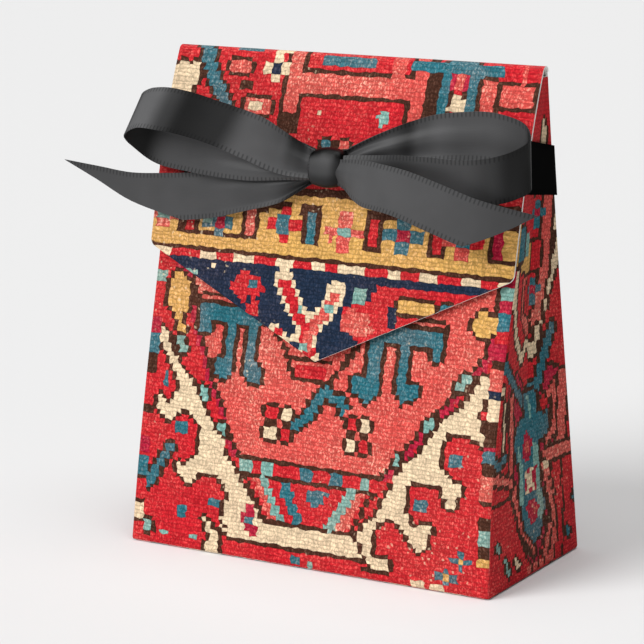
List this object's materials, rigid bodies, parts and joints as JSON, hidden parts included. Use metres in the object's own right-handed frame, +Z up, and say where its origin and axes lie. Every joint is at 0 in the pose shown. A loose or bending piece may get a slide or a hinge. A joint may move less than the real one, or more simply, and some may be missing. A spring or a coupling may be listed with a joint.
{
  "type": "gift bag",
  "caption": "Small tent-shaped favour bag of folded printed card with creased side gussets and a hinged V-ended flap, tied round with a satin ribbon and a two-loop bow.",
  "frame": {"origin": "middle of the base, on the surface that the bag stands on", "axes": "+X to the bag's right as seen from the front, -Y out of the front towards the bow, +Z up"},
  "size_m": [0.1079, 0.0421, 0.1004],
  "materials": {
    "printed_card": "satin-coated card printed with a knotted-carpet pattern in red, teal, gold, cream and brown",
    "plain_card": "matt white uncoated inside of the card",
    "satin_ribbon": "charcoal-black satin with stitched selvedges"
  },
  "bodies": {
    "bag": {"front_panel": "printed_card", "back_panel": "printed_card", "base_panel": "printed_card", "gusset_right_front": "printed_card", "gusset_right_back": "printed_card", "gusset_left_front": "printed_card", "gusset_left_back": "printed_card", "side_glue_tab": "plain_card", "base_glue_tab": "plain_card", "base_dust_flap_right": "plain_card", "base_dust_flap_left": "plain_card"},
    "flap": {"closure_flap": "printed_card"},
    "ribbon": {"ribbon_band": "satin_ribbon", "bow_knot": "satin_ribbon", "bow_loop_left": "satin_ribbon", "bow_loop_right": "satin_ribbon", "ribbon_tail_left": "satin_ribbon", "ribbon_tail_right": "satin_ribbon"}
  },
  "joints": [
    {"name": "ribbon_lift", "type": "slide", "parent": "bag", "child": "ribbon", "axis": [0, 0, 1], "range_m": [0, 0.2]},
    {"name": "flap_hinge", "type": "hinge", "parent": "bag", "child": "flap", "pos_m": [0, 0.00128, 0.09935], "axis": [-1, 0, 0], "range_deg": [0, 105]}
  ],
  "couplings": [
    {"joint": "flap_hinge", "follows": "ribbon_lift", "rad_per_m": 9}
  ]
}
